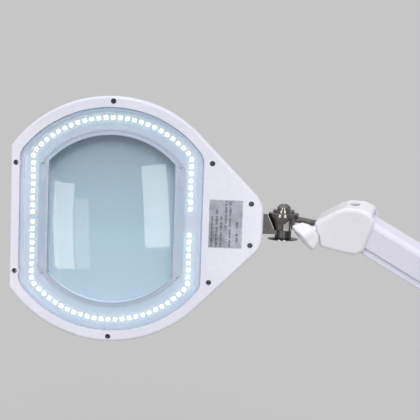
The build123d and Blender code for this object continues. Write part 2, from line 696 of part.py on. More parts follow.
def head_bracket():
    """The dark bracket from the neck to the lower half of the knuckle, drawn in head axes."""
    plate = Pos(158.5, 0, -19) * Box(53, 20.6, 11)
    web = Pos(176, BOLT_IN_HEAD.Y - 15.4, -19) * Box(22, 4.4, 11)
    bracket = plate + web
    bolt = Pos(BOLT_IN_HEAD.X, BOLT_IN_HEAD.Y, -19) * Rot(-90, 0, 0)
    hub_space = Polygon((0, BARREL_TOP), (HUB_FOOT_RADIUS + 1.8, BARREL_TOP), (HUB_RADIUS + 1.6, 2.4),
                        (HUB_RADIUS + 1.6, 20), (0, 20), align=None)
    bracket -= bolt * revolve(Plane.XZ * hub_space, Axis.Z)
    barrel_length = BARREL_TOP - BARREL_BOTTOM
    bracket += bolt * Pos(0, 0, (BARREL_TOP + BARREL_BOTTOM) / 2) * Cylinder(BARREL_RADIUS, barrel_length)
    bracket -= bolt * Cylinder(BOLT_RADIUS + RUNNING_GAP, 90)
    bracket -= bolt * Pos(0, 0, BARREL_BOTTOM + 1.8) * Cylinder(7.2, 4.0)
    for y in (-6, 6):
        bracket -= Pos(136, y, -19) * Cylinder(1.6, 30)
    return bracket


def flange_washer():
    """A thin, slightly domed plate round the foot of the lower barrel."""
    profile = Polygon((BARREL_RADIUS, -21.2), (FLANGE_RADIUS, -22.4), (FLANGE_RADIUS, BARREL_BOTTOM),
                      (BARREL_RADIUS, BARREL_BOTTOM + 0.6), align=None)
    return place(BOLT, revolve(Plane.XZ * profile, Axis.Z))


def driver_board():
    board = Pos(124, 32, -30) * Box(36, 26, 1.6)
    for x, y, size in ((114, 28, 8), (126, 36, 6), (134, 26, 5)):
        board += Pos(x, y, -29.2 + size / 4) * Box(size, size, size / 2)
    return board


def power_button():
    cap = Pos(122, 0, -HEAD_DEPTH - 0.4) * Cylinder(6.0, 5.2)
    stem = Pos(122, 0, -34.2) * Cylinder(2.4, 5)
    return cap + stem


def switch_body():
    """The switch behind the button."""
    body = Pos(122, 0, -28.2) * Box(13, 13, 5.6)
    return body - Pos(122, 0, -32) * Cylinder(2.6, 10)


def write_head():
    write("front_bezel", place(HEAD, front_bezel()))
    write("rear_housing", place(HEAD, rear_housing()))
    write("light_cover", place(HEAD, light_cover()))
    write("reflector_tray", place(HEAD, reflector_tray()))
    for name, side in (("upper", 1), ("lower", -1)):
        write(f"led_board_{name}", place(HEAD, led_board(side)))
        write(f"led_chips_{name}", *[place(HEAD, chip) for chip in led_chips(side)])
    write("lens", place(HEAD, lens()))
    write("lens_gasket", place(HEAD, lens_gasket()))
    write("lens_frame", place(HEAD, lens_frame()))
    write("head_screws", *[place(HEAD, screw) for screw in head_screws()])
    write("driver_board", place(HEAD, driver_board()))
    write("switch_body", place(HEAD, switch_body()))
    write("power_button", place(HEAD, power_button()))
    label = Pos(126.6, 0, 0.1) * Box(36.5, 53, 0.2)
    write("rating_label", place(HEAD, label))
    write("dust_cover", place(HEAD, dust_cover()))
    pin = Pos(HINGE_X, 0, HINGE_Z) * Rot(90, 0, 0) * Cylinder(1.5, 93)
    write("dust_cover_pin", place(HEAD, pin))
    write("head_bracket", place(HEAD, head_bracket()))
    fixings = []
    for y in (-6, 6):
        fixings.append(Pos(136, y, -19) * Cylinder(1.25, 18) + Pos(136, y, -11.6) * Cylinder(2.6, 2.4))
    write("bracket_screws", *[place(HEAD, each) for each in fixings])
    write("flange_washer", flange_washer())


# ---- hood, elbow, base and clamp files ----
def write_hood():
    write("hood_shell", hood_shell())
    write("hood_core", hood_core())
    write("hood_pins", main_pin(HOOD_PIVOT), link_pin(HOOD_PIVOT + upper_link_step))
    write("hood_screws", *side_screws(hood_screw_spots(), (1,), 14.0))
    write("clamp_knob", clamp_knob())


def elbow_core():
    upper_link = ELBOW_HIGH + upper_link_step
    lower_link = ELBOW_LOW + lower_link_step
    x, z = ELBOW_HIGH.X, ELBOW_HIGH.Z
    back = x + 12.5
    spine = bar([(x + 1.5, z + 2), (x + 8, z + 2), (back, z - 9), (back, z - 58), (x + 1.5, z - 52)], 24)
    core = spine + lugs(ELBOW_HIGH, upper_link) + lugs(ELBOW_LOW, lower_link)
    foot = bar([(x - 6, z - 55), (x + 10, z - 55), (x + 10, z - 44), (x - 6, z - 46)], 24)
    core += foot
    core = drill(core, [ELBOW_HIGH, ELBOW_LOW], MAIN_PIN_RADIUS)
    return drill(core, [upper_link, lower_link], LINK_PIN_RADIUS)


def elbow_shell():
    upper_radius = 20.0
    link_radius = 15.4
    wall = 2.2
    lower_link = ELBOW_LOW + lower_link_step
    spots = [(ELBOW_HIGH, upper_radius), (ELBOW_LOW, upper_radius), (lower_link, link_radius)]
    half = COVER_WIDTH / 2
    shell = slab(hull(*spots), -half, half)
    shell = fillet(shell.faces().filter_by(Axis.Y).edges(), 2.0)
    inner = hull(*[(centre, radius - wall) for centre, radius in spots])
    cavity = slab(inner, -COVER_INSIDE / 2, COVER_INSIDE / 2)
    opening = Pos(ELBOW_HIGH.X + 4 - 100, ELBOW_HIGH.Z) * Rectangle(200, 400)
    below = Pos(ELBOW_LOW.X, ELBOW_LOW.Z - 11 - 100) * Rectangle(400, 200)
    cavity += slab(opening, -COVER_INSIDE / 2, COVER_INSIDE / 2)
    cavity += slab(below, -COVER_INSIDE / 2, COVER_INSIDE / 2)
    return shell - cavity + cover_posts(elbow_screw_spots())


def elbow_screw_spots():
    return [ELBOW_HIGH + Vector(16.2, 0, -26)]


def write_elbow():
    shell = screw_holes(elbow_shell(), elbow_screw_spots())
    near, far = halves(shell)
    core = elbow_core()
    write("elbow_core", core)
    write("elbow_cover_near", near)
    write("elbow_cover_far", far)
    write("elbow_screws", *side_screws(elbow_screw_spots()))
    pins = [main_pin(ELBOW_HIGH), main_pin(ELBOW_LOW), link_pin(ELBOW_HIGH + upper_link_step),
            link_pin(ELBOW_LOW + lower_link_step)]
    write("elbow_pins", *pins)


def base_core():
    link = BASE_PIVOT + lower_link_step
    z = BASE_PIVOT.Z
    column = bar([(-6, BASE_FLOOR), (11, BASE_FLOOR), (11, z - 14), (5, z + 2), (-6, z)], 24)
    foot = Pos(0, 0, BASE_FLOOR + 4) * Cylinder(16, 8)
    core = column + foot + lugs(BASE_PIVOT, link)
    core = drill(core, [BASE_PIVOT], MAIN_PIN_RADIUS)
    core = drill(core, [link], LINK_PIN_RADIUS)
    return core - Pos(0, 0, BASE_FLOOR + 8) * Cylinder(STEM_RADIUS, 16)


def base_shell():
    link = BASE_PIVOT + lower_link_step
    floor = BASE_FLOOR + 0.4
    half = COVER_WIDTH / 2
    foot = [(Vector(-14, 0, floor + 6), 6.0), (Vector(20, 0, floor + 6), 6.0)]
    outer = hull((BASE_PIVOT, 20.0), (link, 15.4), *foot)
    shell = slab(outer, -half, half)
    shell = fillet(shell.faces().filter_by(Axis.Y).edges(), 2.0)
    inner = hull((BASE_PIVOT, 17.8), (link, 13.2), *[(centre, radius - 2.2) for centre, radius in foot])
    cavity = slab(inner, -COVER_INSIDE / 2, COVER_INSIDE / 2)
    above = Pos(0, BASE_PIVOT.Z - 19 + 100) * Rectangle(200, 200)
    cavity += slab(above, -COVER_INSIDE / 2, COVER_INSIDE / 2)
    cavity += Pos(0, 0, floor) * Cylinder(16.3, 30)
    shell = shell - cavity + cover_posts(base_screw_spots())
    return shell - Pos(25, 0, BASE_FLOOR + 10.4) * Rot(0, 90, 0) * Cylinder(4.2, 14)


def base_screw_spots():
    return [Vector(-12, 0, BASE_FLOOR + 13)]


def power_inlet():
    """A low-voltage socket in the base cover's end wall."""
    axis = Pos(0, 0, BASE_FLOOR + 10.4) * Rot(0, 90, 0)
    body = axis * Pos(0, 0, 23.5) * Cylinder(4.1, 11) + axis * Pos(0, 0, 29) * Cylinder(5.6, 1.2)
    body -= axis * Pos(0, 0, 26) * Cylinder(2.75, 10)
    return body + axis * Pos(0, 0, 23) * Cylinder(1.0, 8)


def write_base():
    shell = screw_holes(base_shell(), base_screw_spots())
    near, far = halves(shell)
    write("base_core", base_core())
    write("base_cover_near", near)
    write("base_cover_far", far)
    write("base_screws", *side_screws(base_screw_spots()))
    write("base_pins", main_pin(BASE_PIVOT), link_pin(BASE_PIVOT + lower_link_step))
    low = SOCKET_TOP - STEM_BORE_DEPTH + 1.0
    high = BASE_FLOOR + 12
    write("base_stem", Pos(0, 0, (low + high) / 2) * Cylinder(STEM_RADIUS, high - low))
    washer = Pos(0, 0, SOCKET_TOP + WASHER_THICKNESS / 2) * Cylinder(SOCKET_RADIUS - 1, WASHER_THICKNESS)
    write("swivel_washer", washer - Pos(0, 0, SOCKET_TOP) * Cylinder(STEM_RADIUS + RUNNING_GAP, 10))
    write("power_inlet", power_inlet())


def clamp_body():
    width = SPINE_OUTSIDE + JAW_REACH
    middle = (SPINE_OUTSIDE - JAW_REACH) / 2
    upper = Pos(middle, 0, JAW_THICKNESS / 2) * Box(width, JAW_WIDTH, JAW_THICKNESS)
    lower = Pos(middle, 0, -JAW_OPENING - JAW_THICKNESS / 2) * Box(width, JAW_WIDTH, JAW_THICKNESS)
    height = JAW_OPENING + 2 * JAW_THICKNESS
    spine_middle = (SPINE_INSIDE + SPINE_OUTSIDE) / 2
    spine = Pos(spine_middle, 0, -JAW_OPENING / 2) * Box(SPINE_OUTSIDE - SPINE_INSIDE, JAW_WIDTH, height)
    body = upper + lower + spine
    tips = body.edges().filter_by(Axis.Z).group_by(Axis.X)[0]
    body = fillet(tips, 10.0)
    back = body.edges().filter_by(Axis.Y).group_by(Axis.X)[-1]
    body = fillet(back, 8.0)
    socket_height = SOCKET_TOP - JAW_THICKNESS
    socket = Pos(0, 0, JAW_THICKNESS + socket_height / 2) * Cylinder(SOCKET_RADIUS, socket_height)
    inner_x = SOCKET_RADIUS - 2
    rib = bar([(inner_x, JAW_THICKNESS), (34, JAW_THICKNESS), (inner_x, SOCKET_TOP - 6)], 8)
    body += socket + rib
    boss = Pos(SCREW_AXIS_X, 0, -JAW_OPENING - JAW_THICKNESS - 4) * Cylinder(12, 8)
    body += boss
    bore_middle = SOCKET_TOP - (STEM_BORE_DEPTH - 1) / 2
    body -= Pos(0, 0, bore_middle) * Cylinder(STEM_RADIUS + RUNNING_GAP, STEM_BORE_DEPTH + 1)
    return body - Pos(SCREW_AXIS_X, 0, -JAW_OPENING) * Cylinder(SCREW_RADIUS + 0.1, 60)


def clamp_pad():
    plate = PAD_THICKNESS - 2
    pad = Pos(SCREW_AXIS_X, 0, PAD_TOP - 2 - plate / 2) * Cylinder(PAD_RADIUS, plate)
    pad = fillet(pad.faces().sort_by(Axis.Z)[0].edges(), 2.0)
    socket = Pos(SCREW_AXIS_X, 0, PAD_TOP - PAD_THICKNESS + 2) * Cylinder(5.0 + RUNNING_GAP, 5.0)
    return pad - socket


def clamp_screw():
    """The clamp's screw, its ball end in the pad and its cross hole for the handle."""
    top = PAD_TOP - PAD_THICKNESS
    shank = Pos(SCREW_AXIS_X, 0, top - SCREW_LENGTH / 2) * Cylinder(SCREW_RADIUS, SCREW_LENGTH)
    tip = Pos(SCREW_AXIS_X, 0, top + 2) * Cylinder(5.0, 4.0)
    head = Pos(SCREW_AXIS_X, 0, top - SCREW_LENGTH - 9) * Cylinder(10.0, 18)
    head = fillet(head.edges().filter_by(GeomType.CIRCLE), 2.0)
    screw = shank + tip + head
    return screw - Pos(SCREW_AXIS_X, 0, top - SCREW_LENGTH - 9) * Rot(90, 0, 0) * Cylinder(3.5, 40)


def clamp_handle():
    middle = Pos(SCREW_AXIS_X, 0, PAD_TOP - PAD_THICKNESS - SCREW_LENGTH - 9) * Rot(90, 0, 0)
    bar_length = 76.0
    handle = middle * Cylinder(3.5, bar_length)
    for side in (-1, 1):
        cap = Cylinder(6.0, 12)
        cap = fillet(cap.edges().filter_by(GeomType.CIRCLE), 2.5)
        handle += middle * Pos(0, 0, side * bar_length / 2) * cap
    return handle


def write_clamp():
    write("clamp_body", clamp_body())
    write("clamp_pad", clamp_pad())
    liner = Pos(SCREW_AXIS_X, 0, PAD_TOP - 1) * Cylinder(PAD_RADIUS - 0.5, 2)
    write("pad_liner", liner)
    write("clamp_screw", clamp_screw())
    write("clamp_handle", clamp_handle())


write_arm("lower_arm", LOWER_ARM, 0)
write_arm("upper_arm", UPPER_ARM, ARM_LENGTH)
write_knuckle()
write_head()
write_hood()
write_elbow()
write_base()
write_clamp()
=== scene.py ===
import json
import math

import bpy
import bmesh
from mathutils import Matrix, Vector


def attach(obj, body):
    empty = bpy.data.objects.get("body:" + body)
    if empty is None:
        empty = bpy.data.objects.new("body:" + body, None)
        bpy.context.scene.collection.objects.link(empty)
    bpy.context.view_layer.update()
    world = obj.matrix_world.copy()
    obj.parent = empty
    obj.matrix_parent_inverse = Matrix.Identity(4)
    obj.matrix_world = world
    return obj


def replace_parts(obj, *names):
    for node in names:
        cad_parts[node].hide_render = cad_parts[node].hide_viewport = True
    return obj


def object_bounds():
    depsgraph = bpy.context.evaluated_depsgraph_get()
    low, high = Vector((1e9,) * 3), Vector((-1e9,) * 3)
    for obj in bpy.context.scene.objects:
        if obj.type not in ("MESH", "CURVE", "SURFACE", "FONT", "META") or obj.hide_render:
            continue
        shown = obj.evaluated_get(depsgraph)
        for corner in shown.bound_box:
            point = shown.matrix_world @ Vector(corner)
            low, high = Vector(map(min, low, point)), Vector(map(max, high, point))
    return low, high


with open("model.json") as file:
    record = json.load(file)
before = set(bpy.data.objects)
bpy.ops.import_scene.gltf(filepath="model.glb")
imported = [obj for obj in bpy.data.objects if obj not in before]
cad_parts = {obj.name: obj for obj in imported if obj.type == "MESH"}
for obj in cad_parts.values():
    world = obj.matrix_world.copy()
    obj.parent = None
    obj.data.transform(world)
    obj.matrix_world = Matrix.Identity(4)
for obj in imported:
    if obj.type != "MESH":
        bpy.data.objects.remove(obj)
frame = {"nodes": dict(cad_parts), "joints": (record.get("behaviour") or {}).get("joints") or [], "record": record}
cad_low, cad_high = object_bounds()
nodes = frame["nodes"]
joints = {j["name"]: j for j in frame["joints"]}
MM = 0.001

# ---- the head's axes: x out to the neck, y across, z out of the LED side ----
knuckle = Vector(joints["head_pitch"]["pos_m"])
head_y = Vector(joints["head_pitch"]["axis"]).normalized()
head_z = Vector(joints["button_press"]["axis"]).normalized()
head_x = head_y.cross(head_z).normalized()
BOLT_IN_HEAD = Vector((191.5, 6.5, -19.0)) * MM
head_origin = knuckle - head_x * BOLT_IN_HEAD.x - head_y * BOLT_IN_HEAD.y - head_z * BOLT_IN_HEAD.z


def axes_matrix(x, y, z, origin):
    m = Matrix.Identity(4)
    for column, axis in enumerate((x, y, z)):
        for row in range(3):
            m[row][column] = axis[row]
    for row in range(3):
        m[row][3] = origin[row]
    return m


HEAD = axes_matrix(head_x, head_y, head_z, head_origin)
knob_out = Vector(joints["knob_turn"]["axis"]).normalized()
knob_across = knob_out.cross(Vector((0, 0, 1))).normalized()
KNOB = axes_matrix(knob_across, knob_out.cross(knob_across), knob_out, Vector(joints["knob_turn"]["pos_m"]))

# ---- sizes in millimetres, in the head's axes ----
LENS_RADIUS = 95.0
LENS_CUT = 78.5
LENS_BULGE = 13.0
LENS_EDGE = 3.0
LENS_MIDDLE = -20.0
PANEL_TOP = -2.6
PANEL_THICKNESS = 2.5
PANEL_OUTER = (127.0, 104.0, 22.0)     # radius, half width, corner radius
PANEL_OPENING = (124.0, 101.0, 20.0)
# sections through the cover's edges: distance in from the edge, and height above the panel's top
PANEL_BEAD = [(0.3, 0.0), (0.8, 0.5), (1.8, 0.95), (3.0, 1.05), (4.2, 0.9), (5.4, 0.45), (6.4, 0.0)]
WINDOW_ROLL = [(1.4, 0.0), (0.8, -0.1), (0.3, -0.4), (0.06, -0.9), (0.0, -1.6)]
WINDOW_SHADE_WIDTH = 0.6                # how far the painted shade on the window's rolled wall reaches from its edge
WINDOW = (93.0, 69.0, 3.0)
TRACK_RADIUS = 112.5
TRACK_CUT = 87.0
BOARD_TOP = -8.6
BOARD_THICKNESS = 1.6
LED_COUNT = 42
LED_PITCH = 7.85
LED_START = 5.3
LED_HALF = 2.5
LED_HEIGHT = 1.4
PEG_SPOT = (75.5, 61)                  # beside each corner of the window
PEG_RADIUS = 1.7
PEG_HEIGHT = 1.0
LEAD_COVER_MIDDLE = 87
LEAD_COVER_OUTLINE = [(81.5, -8), (82.5, -9), (91.5, -9), (92.5, -8), (92.5, 8), (91.5, 9), (82.5, 9),
                      (81.5, 8)]
LABEL_CENTRE = 126.6
LABEL_TOP = 0.2
# rows of strokes on the label: each row's x from the middle, and the y where it starts and ends
LABEL_ROWS = [(-15.1, -25.0, 9.2), (-9.9, -24.8, 15.8), (-4.9, -24.8, 9.2), (0.2, -6.5, 25.4),
              (4.8, -25.2, 25.4), (12.6, -19.5, -9.5), (12.6, -3.5, 3.5)]
STROKE_WIDTHS = (2.6, 1.7, 2.2, 1.6, 2.6)
STROKE_HEIGHT = 0.85
KNOB_LOBES = 5
KNOB_POINTS = 160                      # round each ring of the knob's grip
# the knob's section: distance behind its outer face, radius, and how deep its hollows are there
KNOB_SECTION = [(0.9, 4.0, 0.0), (0.9, 8.0, 0.0), (0.1, 10.0, 0.2), (0.0, 14.2, 0.6), (0.4, 16.6, 1.6),
                (1.5, 18.1, 2.4), (2.9, 18.3, 2.6), (5.6, 17.2, 2.4), (8.6, 16.0, 2.1), (11.2, 14.9, 1.5),
                (12.9, 13.8, 0.8), (13.9, 12.7, 0.3), (14.3, 11.6, 0.0), (15.4, 10.2, 0.0),
                (16.5, 8.7, 0.0), (16.6, 3.05, 0.0), (22.0, 3.0, 0.0), (28.0, 3.0, 0.0)]


# ---- materials ----
def new_material(name):
    m = bpy.data.materials.new(name)
    m.use_nodes = True
    tree = m.node_tree
    shader = tree.nodes["Principled BSDF"]
    return m, tree, shader


def object_coords(tree, stretch=None):
    source = tree.nodes.new("ShaderNodeTexCoord").outputs["Object"]
    if stretch:
        mapping = tree.nodes.new("ShaderNodeMapping")
        mapping.inputs["Scale"].default_value = stretch
        tree.links.new(source, mapping.inputs["Vector"])
        source = mapping.outputs["Vector"]
    return source


def noise(tree, scale, detail=3.0, rough=0.55, stretch=None):
    n = tree.nodes.new("ShaderNodeTexNoise")
    n.inputs["Scale"].default_value = scale
    n.inputs["Detail"].default_value = detail
    n.inputs["Roughness"].default_value = rough
    tree.links.new(object_coords(tree, stretch), n.inputs["Vector"])
    return n.outputs["Fac"]


def ramp(tree, fac, stops):
    r = tree.nodes.new("ShaderNodeValToRGB")
    elements = r.color_ramp.elements
    while len(elements) < len(stops):
        elements.new(0.5)
    for element, (position, colour) in zip(elements, stops):
        element.position = position
        element.color = (*colour, 1.0)
    tree.links.new(fac, r.inputs["Fac"])
    return r.outputs["Color"]


def span(tree, fac, low, high, from_low=0.3, from_high=0.7):
    r = tree.nodes.new("ShaderNodeMapRange")
    r.inputs["From Min"].default_value = from_low
    r.inputs["From Max"].default_value = from_high
    r.inputs["To Min"].default_value = low
    r.inputs["To Max"].default_value = high
    tree.links.new(fac, r.inputs["Value"])
    return r.outputs["Result"]


def bump(tree, shader, height, strength, distance):
    b = tree.nodes.new("ShaderNodeBump")
    b.inputs["Strength"].default_value = strength
    b.inputs["Distance"].default_value = distance
    tree.links.new(height, b.inputs["Height"])
    tree.links.new(b.outputs["Normal"], shader.inputs["Normal"])


def surface(name, dark, light, rough=(0.3, 0.4), metal=0.0, tone_scale=18.0, grain_scale=2200.0,
            grain=0.15, grain_depth=0.00005, stretch=None, coat=0.0, coat_rough=0.1, specular=0.5, alpha=1.0):
    """A moulded, painted or metal finish: slow tone variation, fine grain in the bump, and uneven gloss."""
    m, tree, shader = new_material(name)
    tone = noise(tree, tone_scale, 4.0)
    tree.links.new(ramp(tree, tone, [(0.3, dark), (0.7, light)]), shader.inputs["Base Color"])
    gloss = noise(tree, tone_scale * 6, 5.0, stretch=stretch)
    tree.links.new(span(tree, gloss, *rough), shader.inputs["Roughness"])
    fine = noise(tree, grain_scale, 2.0, stretch=stretch)
    bump(tree, shader, fine, grain, grain_depth)
    shader.inputs["Metallic"].default_value = metal
    shader.inputs["Coat Weight"].default_value = coat
    shader.inputs["Coat Roughness"].default_value = coat_rough
    shader.inputs["Specular IOR Level"].default_value = specular
    shader.inputs["Alpha"].default_value = alpha
    return m


def lens_glass():
    """Faintly blue-green glass, with painted shade: darker towards the head's +y side (its top as it hangs),
    standing in for the shaded lid seen through it.
    """
    m, tree, shader = new_material("lens_glass")
    split = tree.nodes.new("ShaderNodeSeparateXYZ")
    tree.links.new(object_coords(tree), split.inputs["Vector"])
    # painted shade: the glass colour darkens towards the head's +y side, for the shaded lid seen through the lens
    painted_shade_fac = span(tree, split.outputs["Y"], 0.0, 1.0, -0.09, 0.09)
    stops = [(0.0, (0.70, 0.90, 1.0)), (0.4, (0.58, 0.82, 0.92)), (0.65, (0.50, 0.70, 0.78)),
             (1.0, (0.40, 0.53, 0.62))]
    tree.links.new(ramp(tree, painted_shade_fac, stops), shader.inputs["Base Color"])
    ripple = noise(tree, 9.0, 1.0)
    bump(tree, shader, ripple, 0.1, 0.0004)
    smear = noise(tree, 30.0, 3.0)
    tree.links.new(span(tree, smear, 0.02, 0.06), shader.inputs["Roughness"])
    shader.inputs["Alpha"].default_value = 0.5
    shader.inputs["Coat Weight"].default_value = 1.0
    shader.inputs["Coat Roughness"].default_value = 0.03
    return m


def led_window():
    """The lit face of an LED: white with a green cast, a little uneven."""
    m, tree, shader = new_material("led_window")
    tone = noise(tree, 160.0, 2.0)
    colour = ramp(tree, tone, [(0.3, (0.78, 1.0, 0.74)), (0.7, (0.95, 1.0, 0.90))])
    tree.links.new(colour, shader.inputs["Base Color"])
    tree.links.new(colour, shader.inputs["Emission Color"])
    shader.inputs["Emission Strength"].default_value = 5.0
    shader.inputs["Roughness"].default_value = 0.3
    bump(tree, shader, noise(tree, 900.0, 2.0), 0.2, 0.0001)
    return m


def label_foil():
    """Silver film, slightly wrinkled where it was pressed on."""
    m, tree, shader = new_material("label_foil")
    tone = noise(tree, 26.0, 3.0)
    tree.links.new(ramp(tree, tone, [(0.3, (0.22, 0.23, 0.26)), (0.7, (0.35, 0.36, 0.41))]),
                   shader.inputs["Base Color"])
    tree.links.new(span(tree, noise(tree, 90.0, 3.0), 0.16, 0.34), shader.inputs["Roughness"])
    bump(tree, shader, noise(tree, 34.0, 2.0), 0.35, 0.0012)
    shader.inputs["Metallic"].default_value = 0.55
    return m


MATERIALS = {
    "white_housing": surface("housing_plastic", (0.72, 0.73, 0.82), (0.78, 0.78, 0.86), (0.22, 0.32),
                             coat=0.2),
    "clear_cover": surface("cover_film", (0.66, 0.76, 0.92), (0.72, 0.81, 0.95), (0.06, 0.14), coat=1.0,
                           coat_rough=0.05, alpha=0.42, grain=0.05),
    "white_tray": surface("tray_plastic", (0.70, 0.78, 0.92), (0.76, 0.83, 0.95), (0.28, 0.4)),
    "led_board": surface("led_board", (0.78, 0.88, 0.86), (0.84, 0.93, 0.90), (0.35, 0.5)),
    "led_chip": led_window(),
    "lens_glass": lens_glass(),
    "black_rubber": surface("rubber", (0.035, 0.035, 0.038), (0.05, 0.05, 0.052), (0.6, 0.75), grain=0.3),
    "dark_screw": surface("dark_screw", (0.04, 0.04, 0.05), (0.09, 0.09, 0.10), (0.3, 0.5), metal=0.6),
    "circuit": surface("circuit", (0.03, 0.18, 0.07), (0.05, 0.26, 0.10), (0.35, 0.5)),
    "label": label_foil(),
    "button_grey": surface("button", (0.22, 0.23, 0.25), (0.28, 0.29, 0.32), (0.4, 0.5)),
    "dark_bracket": surface("bracket", (0.05, 0.05, 0.05), (0.10, 0.095, 0.09), (0.28, 0.42), metal=0.7,
                            grain=0.12),
    "polished_metal": surface("polished_metal", (0.14, 0.13, 0.125), (0.24, 0.23, 0.22), (0.10, 0.20),
                              metal=1.0, grain=0.06, tone_scale=60.0),
    "steel": surface("steel", (0.45, 0.45, 0.46), (0.60, 0.60, 0.61), (0.22, 0.38), metal=1.0, grain=0.1),
    "white_cover": surface("cover_plastic", (0.76, 0.75, 0.80), (0.82, 0.81, 0.86), (0.26, 0.36), coat=0.1),
    "white_arm": surface("arm_paint", (0.71, 0.70, 0.80), (0.76, 0.75, 0.85), (0.3, 0.42), grain=0.3,
                         grain_scale=1400),
    "white_link": surface("link_paint", (0.72, 0.72, 0.86), (0.78, 0.78, 0.90), (0.3, 0.42), grain=0.3,
                          grain_scale=1400),
    "cast_core": surface("cast_core", (0.30, 0.31, 0.32), (0.42, 0.43, 0.45), (0.4, 0.6), metal=0.9,
                         grain=0.5, grain_scale=900),
    "white_clamp": surface("clamp_paint", (0.74, 0.74, 0.78), (0.80, 0.80, 0.84), (0.3, 0.45), grain=0.35,
                           grain_scale=1100),
    "grey_washer": surface("washer", (0.14, 0.15, 0.16), (0.2, 0.21, 0.22), (0.4, 0.55)),
}
INK = surface("label_ink", (0.015, 0.015, 0.02), (0.035, 0.035, 0.05), (0.4, 0.6))
LED_BODY = surface("led_body", (0.80, 0.84, 0.82), (0.88, 0.90, 0.88), (0.3, 0.4))
# a darker blue-grey for the clear cover's window wall: painted shade along the window's edge
COVER_EDGE_PAINTED_SHADE = surface("cover_edge_painted_shade", (0.28, 0.34, 0.44), (0.34, 0.40, 0.50), (0.3, 0.4))
PEG = surface("peg_plastic", (0.36, 0.40, 0.45), (0.46, 0.50, 0.55), (0.2, 0.3), coat=0.4)
LEAD_COVER = surface("lead_cover", (0.78, 0.72, 0.78), (0.84, 0.79, 0.83), (0.3, 0.45))

slot_of = {part["node"]: part["material_slot"] for part in frame["record"]["subparts"]}
for name, node in nodes.items():
    node.data.materials.clear()
    node.data.materials.append(MATERIALS[slot_of[name]])


# ---- mesh helpers: shapes are drawn in millimetres and scaled onto their axes ----
def add_piece(name, mesh_data, materials, body, place, smooth_angle=35.0):
    mesh = bpy.data.meshes.new(name)
    bmesh.ops.recalc_face_normals(mesh_data, faces=mesh_data.faces)
    for face in mesh_data.faces:
        face.smooth = True
    for edge in mesh_data.edges:
        if len(edge.link_faces) == 2 and edge.calc_face_angle(0.0) > math.radians(smooth_angle):
            edge.smooth = False
    mesh_data.to_mesh(mesh)
    mesh_data.free()
    mesh.transform(Matrix.Scale(MM, 4))
    for material in materials:
        mesh.materials.append(material)
    piece = bpy.data.objects.new(name, mesh)
    bpy.context.scene.collection.objects.link(piece)
    piece.matrix_world = place
    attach(piece, body)
    return piece


def loft(bm, rings, material=0, closed=False):
    """Join rings of points, each to the next; the first and last are capped unless the loft is closed."""
    loops = [[bm.verts.new(point) for point in ring] for ring in rings]
    pairs = list(zip(loops, loops[1:]))
    if closed:
        pairs.append((loops[-1], loops[0]))
    count = len(loops[0])
    for low, high in pairs:
        for i in range(count):
            j = (i + 1) % count
            face = bm.faces.new((low[i], low[j], high[j], high[i]))
            face.material_index = material
    if not closed:
        for loop in (loops[0], loops[-1]):
            face = bm.faces.new(loop)
            face.material_index = material
    return loops


def cut_disc_points(radius, half_width, corner, z):
    """Points round a disc whose left and right sides are cut off straight, with rounded corners."""
    corner_x = half_width - corner
    corner_y = math.sqrt((radius - corner) ** 2 - corner_x ** 2)
    meet = math.atan2(corner_y, corner_x)
    quarter = [(half_width, corner_y * i / 8) for i in range(8)]
    for i in range(8):
        angle = meet * i / 8
        quarter.append((corner_x + corner * math.cos(angle), corner_y + corner * math.sin(angle)))
    for i in range(29):
        angle = meet + (math.pi / 2 - meet) * i / 28
        quarter.append((radius * math.cos(angle), radius * math.sin(angle)))
    half = quarter + [(-x, y) for x, y in reversed(quarter[:-1])]
    ring = half + [(x, -y) for x, y in reversed(half[1:-1])]
    return [Vector((x, y, z)) for x, y in ring]


def rounded_square(x, y, heading, half, corner, z):
    """Points round a square with rounded corners, turned by its heading in degrees."""
    turn = Matrix.Rotation(math.radians(heading), 2)
    points = []
    for quadrant in range(4):
        for step in range(4):
            angle = math.radians(90 * quadrant + 30 * step)
            sign_x = (1, -1, -1, 1)[quadrant]
            sign_y = (1, 1, -1, -1)[quadrant]
            flat = Vector((sign_x * (half - corner) + corner * math.cos(angle),
                           sign_y * (half - corner) + corner * math.sin(angle)))
            flat = turn @ flat
            points.append(Vector((x + flat.x, y + flat.y, z)))
    return points


# ---- lens ----
def make_lens():
    bm = bmesh.new()
    sphere = (LENS_RADIUS ** 2 + LENS_BULGE ** 2) / (2 * LENS_BULGE)
    outline = cut_disc_points(LENS_RADIUS, LENS_CUT, 3.0, 0.0)

    def face_rings(side, scales):
        rings = []
        for scale in scales:
            ring = []
            for point in outline:
                x, y = point.x * scale, point.y * scale
                drop = sphere - math.sqrt(sphere ** 2 - x * x - y * y)
                height = LENS_EDGE / 2 + LENS_BULGE - drop
                ring.append(Vector((x, y, LENS_MIDDLE + side * height)))
            rings.append(ring)
        return rings

    steps = [i / 24 for i in range(1, 25)]
    back = face_rings(-1, steps)
    front = face_rings(1, reversed(steps))
    loft(bm, back + front)
    return add_piece("lens_blank", bm, [MATERIALS["lens_glass"]], "head", HEAD)


lens = make_lens()
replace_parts(lens, "lens")


